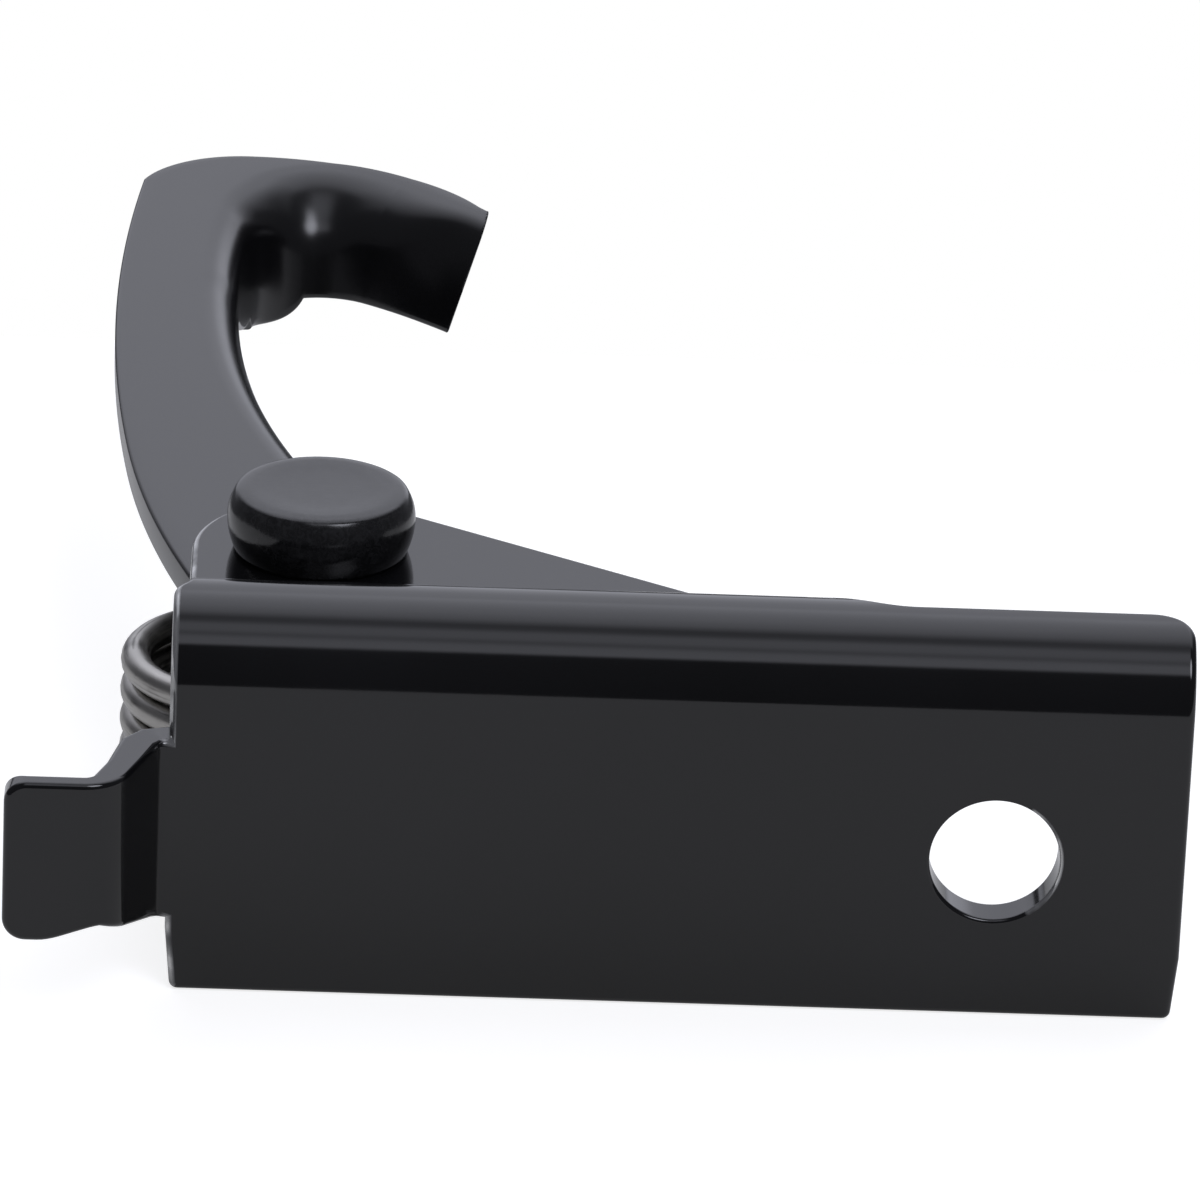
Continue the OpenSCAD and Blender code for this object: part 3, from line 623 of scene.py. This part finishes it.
class HookShape:
    def __init__(self, h):
        self.h = h
        self.outerC = np.array([h["outerR"] - h["bow"], h["reach"] - h["bowBack"]])
        waistY = h["reach"] - h["waistBack"]
        self.innerC = np.array([h["armWidth"] - h["bow"] + h["innerR"], waistY])
        self.tipC = np.array([-h["tipLeft"], h["reach"] - h["tipOuterR"]])
        self.armEnd = 180 - h["throatTurn"]
        self.throatC = self.innerC + (h["innerR"] - h["throatR"]) * heading(self.armEnd)
        toThroat = self.throatC - self.tipC
        self.catchR = np.linalg.norm(toThroat) + h["throatR"]
        self.catchStart = bearing(toThroat)
        self.throatY = self.innerC[1] + h["innerR"] * math.sin(math.radians(h["throatTurn"]))
        self.rollTurn = math.degrees(math.asin((waistY - h["rollStart"]) / h["innerR"]))
        hipDir = heading(180 - math.degrees(math.asin((h["hipY"] - self.outerC[1]) / h["outerR"])))
        hip = self.outerC + h["outerR"] * hipDir
        self.hipR = (hip @ hip - h["hubR"] ** 2) / (2 * (hip @ hipDir - h["hubR"]))
        self.hipC = hip - self.hipR * hipDir
        self.hubJoin = bearing(-self.hipC)
        self.knuckleC = self.tipC + (h["tipOuterR"] - h["knuckleR"]) * heading(h["knuckleStart"])
        corner = circlesMeet(self.knuckleC, h["knuckleR"], self.outerC, h["outerR"])
        self.cornerTurn = bearing(corner - self.throatC)
        self.knuckleTurn = bearing(self.tipC + h["tipOuterR"] * heading(h["knuckleStart"]) - self.throatC)

    def armEdge(self, w, n):
        p = farSide(w, n, self.outerC, self.h["outerR"])
        return p if p[1] > self.h["hipY"] else farSide(w, n, self.hipC, self.hipR)

    def backEdge(self, w, n, a):
        if a > self.cornerTurn:
            return self.armEdge(w, n)
        if a > self.knuckleTurn:
            return farSide(w, n, self.knuckleC, self.h["knuckleR"])
        return farSide(w, n, self.tipC, self.h["tipOuterR"])

    # a row has the outer edge, the bend line, the direction away from the throat and the section
    def row(self, edge, foot, n, curve, skew=(0, 0), undercut=0.0, deeper=0.0):
        reach = curve["reach"][-1] - deeper * math.cos(curve["turn"][-1])
        return {"edge": edge, "bendLine": foot + reach * n, "away": n, "curve": curve, "skew": np.array(skew),
                "undercut": undercut}

    def flatRow(self, outer, inner):
        wide, turn = np.linalg.norm(outer - inner), 0.01  # next to no bend
        curve = bendCurve(0.5 * wide / math.radians(turn), turn, flange=0.1 * wide)
        return self.row(outer, inner, (outer - inner) / wide, curve)

    def armRow(self, a):
        h, n = self.h, heading(a)
        w = self.innerC + h["innerR"] * n
        along = (w[1] - h["rollStart"]) / (self.throatY - h["rollStart"])
        late = max(along - h["deepen"], 0) / (1 - h["deepen"])
        deeper, steeper = ease(late), ease(min(h["steepen"] * late, 1))
        rolled = max(ease(min((w[1] - h["rollStart"]) / h["runOut"], 1)), 0.01)
        b = (h["rollTurn"] + (90 - h["innerLean"] - h["rollTurn"]) * steeper) * rolled
        r = (h["rollR"] + (h["innerRollR"] - h["rollR"]) * deeper) / rolled
        if rolled < 1:
            full = math.radians(h["rollTurn"])
            lip = (h["rollDepth"] - h["rollR"] * (1 - math.cos(full))) / math.sin(full)
            curve = bendCurve(r, b, flange=lip * rolled + h["lipStart"] * (1 - rolled))
        else:
            curve = bendCurve(r, b, depth=h["rollDepth"] + (h["catchDepth"] - h["rollDepth"]) * deeper)
        return self.row(self.armEdge(w, n), w, n, curve)

    def throatRow(self, a):
        h, n = self.h, heading(a)
        w = self.throatC + h["throatR"] * n
        side = w[0] - self.throatC[0] + h["lobeLeft"]
        lobe = max(h["lobeExtra"] - h["lobeR"] + math.sqrt(max(h["lobeR"] ** 2 - side * side, 0)), 0)
        # the corner is drawn to a soft shelf half way down
        shelf = h["shelf"] * ease(max(1 - abs(a - h["shelfAt"]) / h["shelfWide"], 0))
        t = (self.armEnd - a) / (self.armEnd - self.catchStart)
        wider = ease(min(h["widen"] * t, 1))
        r = h["innerRollR"] + (h["throatRollR"] - h["innerRollR"]) * wider
        b = 90 - h["innerLean"] - (h["throatLean"] - h["innerLean"]) * wider
        curve = bendCurve(r, b, shelf, depth=h["catchDepth"] + lobe)
        return self.row(self.backEdge(w, n, a), w, n, curve, deeper=lobe / math.sin(math.radians(b)))

    def catchRow(self, a):
        h, n = self.h, heading(a)
        t = (self.catchStart - a) / (self.catchStart - h["tipEnd"])
        turn = ease(min(t, 1))
        b = 90 - h["throatLean"] - (h["tipLean"] - h["throatLean"]) * turn
        r = h["throatRollR"] + (h["tipRollR"] - h["throatRollR"]) * turn
        curve = bendCurve(r, b, depth=h["catchDepth"])
        footR = self.catchR + h["tipFlare"] * t * t
        edgeR = max(h["tipOuterR"] - h["tipDraw"] * t * t, footR + curve["reach"][-1] + h["leastFlat"])
        side = h["tipSkew"] * turn * np.array([math.sin(math.radians(a)), -math.cos(math.radians(a))])
        return self.row(self.tipC + edgeR * n, self.tipC + footR * n, n, curve, side, h["tipUndercut"] * turn)

    def rows(self):
        h = self.h
        hubFoot = h["hubR"] * heading(h["hubEnd"])
        rollStart = self.innerC + h["innerR"] * heading(180 + self.rollTurn)
        rollEdge = self.armEdge(rollStart, heading(180 + self.rollTurn))
        heel = np.array([h["heelRight"], h["heelRoot"]])
        heelEnd = bracketDims["sheet"] + h["stopGap"] - bracketDims["pivotBack"]
        rows = [self.flatRow(np.array([h["heelLeft"], heelEnd]), np.array([h["heelRight"], heelEnd]))]
        for u in np.linspace(0, 1, 25)[:-1]:
            turn = h["hubEnd"] + (self.hubJoin - h["hubEnd"]) * u
            inner = np.array([h["heelRight"], hubFoot[1] + (h["heelRoot"] - hubFoot[1]) * u])
            rows.append(self.flatRow(h["hubR"] * heading(turn), inner))
        for u in np.linspace(0, 1, 9)[:-1]:
            turn = self.hubJoin + (bearing(rollEdge - self.hipC) - self.hubJoin) * u
            rows.append(self.flatRow(self.hipC + self.hipR * heading(turn), heel + (rollStart - heel) * u))
        rows += [self.armRow(a) for a in np.linspace(180 + self.rollTurn, self.armEnd, 121)[:-1]]
        turns = [(self.armEnd, self.cornerTurn, 40), (self.cornerTurn, self.knuckleTurn, 44),
                 (self.knuckleTurn, self.catchStart, 64)]
        for start, end, count in turns:
            rows += [self.throatRow(a) for a in np.linspace(start, end, count + 1)[:-1]]
        rows += [self.catchRow(a) for a in np.linspace(self.catchStart, h["tipEnd"] - h["overrun"], 81)]
        return rows


def sheetPoint(row, s, depth):
    # s runs along the top face from the bend line, negative on the flat side
    curve, n = row["curve"], row["away"]
    if s < 0:
        flat = row["edge"] - row["bendLine"]
        plan, z = row["bendLine"] - s * flat / np.linalg.norm(flat), -depth
    else:
        turn = np.interp(s, curve["length"], curve["turn"])
        beyond = max(s - curve["length"][-1], 0)
        reach = np.interp(s, curve["length"], curve["reach"]) + beyond * math.cos(turn)
        plan = row["bendLine"] - (reach - depth * math.sin(turn)) * n
        z = np.interp(s, curve["length"], curve["height"]) - beyond * math.sin(turn) - depth * math.cos(turn)
    plan = plan - row["skew"] * z / hookDims["catchDepth"]
    return np.array([plan[0], plan[1], z])


def hookRing(row):
    # a rounded rectangle round the sheet's section, from the outer edge along the top and back underneath
    h = hookDims
    sheet, r = h["sheet"], h["edgeR"]
    low = -np.linalg.norm(row["edge"] - row["bendLine"])
    high = row["curve"]["length"][-1]
    rl = min(r, -0.8 * low)
    top = list((low + rl) * np.array([1, 0.88, 0.5])) + list(np.linspace(0, high - r, 36))
    ring = [(s, 0) for s in top]
    turn = np.radians(np.linspace(0, 90, 6)[1:])
    ring += [(high - r + r * math.sin(a), r - r * math.cos(a)) for a in turn]
    ring += [(high - r + r * math.cos(a), sheet - r + r * math.sin(a)) for a in np.append(0, turn)]
    under = max(rl, row["undercut"])
    ring += [(max(s, low + under), sheet) for s in top[-2::-1]]
    deep = max(rl, min(row["undercut"], sheet - rl))
    ring += [(low + under - under * math.sin(a), sheet - deep + deep * math.cos(a)) for a in turn]
    ring += [(low + rl - rl * math.cos(a), rl - rl * math.sin(a)) for a in np.append(0, turn[:-1])]
    return [sheetPoint(row, s, depth) for s, depth in ring]


def shearTip(mesh, origin):
    # the blank's end is sheared off straight, nearly square to the plate
    h = hookDims
    top = origin + [*h["shearTop"], 0]
    low = origin + [*h["shearLow"], -h["catchDepth"]]
    across = np.cross(low - top, h["shearWay"])
    work = bmesh.new()
    work.from_mesh(mesh)
    faces = [f for f in work.faces if f.calc_center_median().y > (origin[1] + h["shearFrom"]) * mm]
    edges = {e for f in faces for e in f.edges}
    verts = {v for f in faces for v in f.verts}
    cut = bmesh.ops.bisect_plane(work, geom=[*verts, *edges, *faces], dist=1e-7, plane_co=top * mm,
                                 plane_no=across, clear_outer=True)
    rim = [e for e in cut["geom_cut"] if isinstance(e, bmesh.types.BMEdge)]
    end = bmesh.ops.contextual_create(work, geom=rim)["faces"]
    for face in end:
        face.smooth = False
    bmesh.ops.bevel(work, geom=rim, offset=h["shearEdge"] * mm, segments=2, profile=0.5, affect="EDGES")
    work.to_mesh(mesh)
    work.free()


def buildHook():
    h = hookDims
    rings = [hookRing(row) for row in HookShape(h).rows()]
    count = len(rings[0])
    points = [p for ring in rings for p in ring]
    faces = ringFaces(len(rings), count)
    for ring, order in ((rings[0], 1), (rings[-1], -1)):
        start = len(points)
        points += ring
        faces.append(tuple(range(start, start + count))[::order])
    origin = pivotAt(h["top"])
    piece = addPiece("hookLever", np.array(points) + origin, faces, ecoat)
    shearTip(piece.data, origin)
    satin = piece.data.attributes.new("satinCoat", "FLOAT", "POINT")
    satin.data.foreach_set("value", [1.0] * len(piece.data.vertices))
    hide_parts("hook_lever")
    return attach(piece, "hook")


hook = buildHook()
print("hook lofted:", len(hook.data.polygons), "faces")


# Pivot rivet and retaining washer: turned sections

rivetDims = {
    "headR": 6.6, "headH": 4.6, "widestH": 2.5, "footR": 6.0, "topR": 5.85, "rimEase": 1.0, "dish": 0.1,
    "shankR": 3.5, "tenonR": 2.5, "tailR": 4.5, "tailRim": 0.8, "tailH": 2.0,
    "washerR": 10.0, "washerT": 1.6, "washerEdge": 0.35,
    "axisGap": 0.001,  # keeps the ends of the section off the axis
    "segments": 128,
}


def lathe(name, section, material, segments, origin):
    turns = [heading(360 * i / segments) for i in range(segments)]
    points = [[r * t[0], r * t[1], z] for t in turns for r, z in section]
    n = len(section)
    faces = []
    for i in range(segments):
        j = (i + 1) % segments
        faces += [(i * n + k, j * n + k, j * n + k + 1, i * n + k + 1) for k in range(n - 1)]
    return addPiece(name, np.array(points) + origin, faces, material)


def buildRivet():
    d, gap = rivetDims, rivetDims["axisGap"]
    earTop = bracketDims["above"] - bracketDims["earDrop"]
    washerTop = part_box("retaining_washer")[1].z / mm - earTop
    washerLow = washerTop - d["washerT"]
    top, flat, dished = d["headH"], d["topR"] - d["rimEase"], d["headH"] - d["dish"]
    section = [(gap, dished), (flat * 0.55, dished), (flat * 0.8, top - d["dish"] * 0.6), (flat, top)]
    # the side bulges to its widest place, and a tight curve joins it to the flat top
    bulge = [(d["headR"] - (d["headR"] - d["topR"]) * u * u, d["widestH"] + (top - d["widestH"]) * u)
             for u in np.linspace(0.85, 0, 9)]
    corner, side = np.array([d["topR"], top]), np.array(bulge[0])
    for u in np.linspace(0, 1, 9)[1:-1]:
        section.append(tuple((1 - u) ** 2 * np.array([flat, top]) + 2 * u * (1 - u) * corner + u * u * side))
    section += bulge
    section += [(d["headR"] - (d["headR"] - d["footR"]) * u * u, d["widestH"] * (1 - u))
                for u in np.linspace(0, 1, 9)[1:]]
    section += [(d["shankR"], 0), (d["shankR"], washerTop)]
    section += [(d["tenonR"], washerTop), (d["tenonR"], washerLow)]
    # the tail has a straight rim and a domed end
    tailRim, dome = washerLow - d["tailRim"], d["tailH"] - d["tailRim"]
    section += [(d["tailR"], washerLow), (d["tailR"], tailRim)]
    section += [(d["tailR"] * math.sqrt(1 - u * u) + gap, tailRim - dome * u) for u in np.linspace(0, 1, 7)[1:]]
    piece = lathe("pivotRivet", section[::-1], rivetSteel, d["segments"], pivotAt(earTop))
    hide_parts("pivot_rivet")
    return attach(piece, "bracket")


def buildWasher():
    d = rivetDims
    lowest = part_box("retaining_washer")[0].z / mm
    e, r, hole, t = d["washerEdge"], d["washerR"], d["tenonR"], d["washerT"]
    quarter = np.radians(np.linspace(0, 90, 6))
    section = [(hole, e)]
    section += [(hole + e - e * math.cos(a), e - e * math.sin(a)) for a in quarter[1:]]
    section += [(r - e + e * math.sin(a), e - e * math.cos(a)) for a in quarter]
    section += [(r - e + e * math.cos(a), t - e + e * math.sin(a)) for a in quarter]
    section += [(hole + e - e * math.sin(a), t - e + e * math.cos(a)) for a in quarter]
    section.append(section[0])
    piece = lathe("retainingWasher", section, washerZinc, d["segments"], pivotAt(lowest))
    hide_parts("retaining_washer")
    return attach(piece, "bracket")


rivet = buildRivet()
washer = buildWasher()
print("rivet and washer turned:", len(rivet.data.polygons) + len(washer.data.polygons), "faces")


# Return spring: one wire with a leg on the plate, four turns and a leg under the hook

springDims = {
    "wireD": 2.1, "coilD": 17.5, "gap": 0.17, "turns": 4, "seat": 0.3, "clear": 0.1, "lean": 14.0,
    "topAngle": 28.0, "lowAngle": 330.0, "topLeg": 16.0, "perTurn": 56, "sides": 20,
    "crop": 0.3, "cropSteps": (0.35, 0.75),  # the wire's cropped ends are slightly rounded
}


def springRoute():
    d = springDims
    r, wire = d["coilD"] / 2, d["wireD"] / 2
    total = 360 * d["turns"] + d["topAngle"] + 360 - d["lowAngle"]
    top = hookDims["top"] - hookDims["sheet"] - d["seat"] - wire
    low = top - (d["wireD"] + d["gap"]) * total / 360
    slack = r - wire - rivetDims["shankR"] - d["clear"]
    centre = -slack * heading(d["lean"])

    def coil(a):
        p = centre + r * heading(a)
        return np.array([p[0], p[1], low + (top - low) * (a - d["lowAngle"]) / total])

    def tangent(a):
        return np.array([-math.sin(math.radians(a)), math.cos(math.radians(a)), 0])

    first, last = d["lowAngle"], d["lowAngle"] + total
    reach = bracketDims["pivotBack"] - bracketDims["sheet"] - d["seat"] - wire
    lowLeg = (reach + coil(first)[1]) / math.cos(math.radians(first))
    route = [coil(first) - tangent(first) * s for s in np.linspace(lowLeg, 0, 9)[:-1]]
    route += [coil(a) for a in np.linspace(first, last, round(d["perTurn"] * total / 360))]
    route += [coil(last) + tangent(last) * s for s in np.linspace(0, d["topLeg"], 12)[1:]]
    return np.array(route), low, top


def buildSpring():
    d = springDims
    route, low, top = springRoute()
    wire, sides = d["wireD"] / 2, d["sides"]
    run = np.gradient(route, axis=0)
    run /= np.linalg.norm(run, axis=1)[:, None]
    length = np.concatenate([[0], np.cumsum(np.linalg.norm(np.diff(route, axis=0), axis=1))])
    rings, marks = [], []

    def ring(i, along, radius):
        side = np.array([-run[i][1], run[i][0], 0])
        side /= np.linalg.norm(side)
        up = np.cross(run[i], side)
        rings.append([route[i] + along * run[i] + radius * (math.cos(a) * side + math.sin(a) * up)
                      for a in np.linspace(0, 2 * math.pi, sides, endpoint=False)])
        marks.append(length[i] + along)

    crop, steps = d["crop"], d["cropSteps"]
    for k in steps:
        ring(0, crop * (k - steps[0]), wire - crop * (1 - k))
    for i in range(1, len(route) - 1):
        ring(i, 0, wire)
    for k in steps[::-1]:
        ring(len(route) - 1, crop * (steps[0] - k), wire - crop * (1 - k))
    points = [p for r in rings for p in r]
    faces = [f[::-1] for f in ringFaces(len(rings), sides)]
    faces.append(tuple(range(sides)))
    faces.append(tuple(range(len(points) - sides, len(points)))[::-1])
    piece = addPiece("returnSpring", np.array(points) + pivotAt(0), faces, springWire)
    layer = piece.data.uv_layers.new(name="wire")
    for loop in piece.data.loops:
        i, k = divmod(loop.vertex_index, sides)
        layer.data[loop.index].uv = (marks[i], wire * abs(2 * math.pi * k / sides - math.pi))
    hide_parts("return_spring")
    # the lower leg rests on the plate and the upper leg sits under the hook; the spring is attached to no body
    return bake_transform(piece)


spring = buildSpring()
print("spring wound:", len(spring.data.polygons), "faces")


# Stage: pale floor, studio surroundings and camera

stageLook = {
    "floor": "#b4b4b4", "floorFront": 0.15, "floorBack": 0.118, "floorSide": 1.5, "gap": 0.00002,
    "floorGlow": 0.78, "floorSheen": 0.38,
    "tint": "#f1f3ff",
    # light on a turn from the front horizon (0) over the top (90) to the back horizon (180)
    "turns": [(-6, 0.1), (46, 0.12), (50, 1.45), (58, 1.35), (64, 0.85), (70, 1.25), (77, 1.25), (84, 0.6),
              (89, 0.52), (99, 1.4), (110, 1.75), (136, 2.0), (142, 1.55), (154, 1.2), (170, 1.0), (180, 0.9),
              (186, 0.12)],
    "brightest": 2.0,
    # the panels give way to the dim room on both sides, and those in front are narrower
    "sideStart": 0.35, "sideEnd": 0.75, "sideLevel": 0.13, "frontNarrow": 2.6,
    # each lamp's turn to the right of the front and its height, its half widths at core and rim, its level
    "lamps": [((36, 53), (7, 15), 7.0), ((158, 6), (5, 14), 0.5)],
}


def buildFloor():
    look = stageLook
    material, tree = newMaterial("paleFloor")
    path = addNode(tree, "ShaderNodeLightPath")
    seen = addNode(tree, "ShaderNodeMath", {
        0: path.outputs["Is Camera Ray"], 1: path.outputs["Is Transmission Ray"]}, operation="MAXIMUM")
    mirrored = path.outputs["Is Glossy Ray"]
    sheen = addNode(tree, "ShaderNodeMath", {
        0: mirrored, 1: look["floorSheen"], 2: seen.outputs[0]}, operation="MULTIPLY_ADD")
    glowing = addNode(tree, "ShaderNodeMath", {
        0: sheen.outputs[0], 1: look["floorGlow"]}, operation="MULTIPLY")
    glow = addNode(tree, "ShaderNodeEmission", {"Color": (1, 1, 1, 1), "Strength": glowing.outputs[0]})
    plain = addNode(tree, "ShaderNodeBsdfDiffuse", {"Color": linear(look["floor"])})
    both = addNode(tree, "ShaderNodeAddShader", {0: glow.outputs[0], 1: plain.outputs[0]})
    addNode(tree, "ShaderNodeOutputMaterial", {"Surface": both.outputs[0]})
    front, back, side = (look[key] / mm for key in ("floorFront", "floorBack", "floorSide"))
    z = cadBox[0][2] / mm - look["gap"] / mm
    corners = [[-side, -front, z], [side, -front, z], [side, back, z], [-side, back, z]]
    floor = addPiece("studioFloor", corners, [(0, 1, 2, 3)], material)


def buildWorld():
    look = stageLook
    world = bpy.data.worlds.new("studio")
    world.use_nodes = True
    scene.world = world
    tree = world.node_tree
    tree.nodes.clear()
    toward = addNode(tree, "ShaderNodeTexCoord").outputs["Generated"]
    axis = addNode(tree, "ShaderNodeSeparateXYZ", {"Vector": toward})
    ahead = addNode(tree, "ShaderNodeMath", {0: axis.outputs["Y"], 1: -1.0}, operation="MULTIPLY")
    turn = addNode(tree, "ShaderNodeMath", {0: axis.outputs["Z"], 1: ahead.outputs[0]}, operation="ARCTAN2")
    # the ramp starts straight below, so the seam of the turn lies under the floor
    place = addNode(tree, "ShaderNodeMath", {0: turn.outputs[0], 1: math.pi / 2}, operation="ADD")
    share = addNode(tree, "ShaderNodeMath", {0: place.outputs[0], 1: 2 * math.pi}, operation="DIVIDE")
    wrapped = addNode(tree, "ShaderNodeMath", {0: share.outputs[0]}, operation="FRACT")
    panels = addNode(tree, "ShaderNodeValToRGB", {"Fac": wrapped.outputs[0]})
    tint = linear(look["tint"])

    def toned(level):
        return [c * level / look["brightest"] for c in tint[:3]] + [1]

    fillRamp(panels.color_ramp, [((angle + 90) / 360, toned(level)) for angle, level in look["turns"]])
    aside = addNode(tree, "ShaderNodeMath", {0: axis.outputs["X"]}, operation="ABSOLUTE")
    narrow = addNode(tree, "ShaderNodeMapRange", {
        "Value": axis.outputs["Y"], "From Min": -0.1, "From Max": 0.1,
        "To Min": look["frontNarrow"], "To Max": 1.0})
    offset = addNode(tree, "ShaderNodeMath", {
        0: aside.outputs[0], 1: narrow.outputs[0]}, operation="MULTIPLY")
    fade = addNode(tree, "ShaderNodeMapRange", {
        "Value": offset.outputs[0], "From Min": look["sideStart"], "From Max": look["sideEnd"],
        "To Min": 0.0, "To Max": 1.0})
    around = addNode(tree, "ShaderNodeMix", {
        0: fade.outputs[0], 6: panels.outputs["Color"], 7: toned(look["sideLevel"])}, data_type="RGBA")
    lit = addNode(tree, "ShaderNodeBackground", {"Color": around.outputs[2], "Strength": look["brightest"]})
    for at, wide, level in look["lamps"]:
        side, height = (math.radians(a) for a in at)
        core, rim = (math.cos(math.radians(a)) for a in wide)
        lampWay = (math.sin(side) * math.cos(height), -math.cos(side) * math.cos(height), math.sin(height))
        facing = addNode(tree, "ShaderNodeVectorMath", {0: toward, 1: lampWay}, operation="DOT_PRODUCT")
        glow = addNode(tree, "ShaderNodeMapRange", {
            "Value": facing.outputs["Value"], "From Min": rim, "From Max": core,
            "To Min": 0.0, "To Max": level})
        lamp = addNode(tree, "ShaderNodeBackground", {"Color": tint, "Strength": glow.outputs[0]})
        lit = addNode(tree, "ShaderNodeAddShader", {0: lit.outputs[0], 1: lamp.outputs[0]})
    white = addNode(tree, "ShaderNodeBackground", {"Color": (1, 1, 1, 1), "Strength": 1.0})
    path = addNode(tree, "ShaderNodeLightPath")
    shown = addNode(tree, "ShaderNodeMixShader", {
        0: path.outputs["Is Camera Ray"], 1: lit.outputs[0], 2: white.outputs[0]})
    addNode(tree, "ShaderNodeOutputWorld", {"Surface": shown.outputs[0]})


cameraView = {
    "target": (-27.98, 0.0, 18.74), "azimuth": 1.519, "elevation": 23.712, "roll": 2.439,
    "distance": 697.36, "lens": 306.87, "sensor": 36.0,
}


def buildCamera():
    c = cameraView
    az, el = math.radians(c["azimuth"]), math.radians(c["elevation"])
    back = Vector((-math.sin(az) * math.cos(el), -math.cos(az) * math.cos(el), math.sin(el)))
    right = Vector((math.cos(az), -math.sin(az), 0))
    up = back.cross(right)
    turn = math.radians(c["roll"])
    x = right * math.cos(turn) + up * math.sin(turn)
    y = up * math.cos(turn) - right * math.sin(turn)
    data = bpy.data.cameras.new("photoCamera")
    data.lens, data.sensor_width = c["lens"], c["sensor"]
    data.clip_start, data.clip_end = 0.01, 20
    camera = bpy.data.objects.new("photoCamera", data)
    scene.collection.objects.link(camera)
    place = (Vector(c["target"]) + back * c["distance"]) * mm
    camera.matrix_world = Matrix((
        (x.x, y.x, back.x, place.x), (x.y, y.y, back.y, place.y), (x.z, y.z, back.z, place.z), (0, 0, 0, 1)))
    scene.camera = camera


buildFloor()
buildWorld()
buildCamera()
print("stage ready")

bpy.context.view_layer.update()
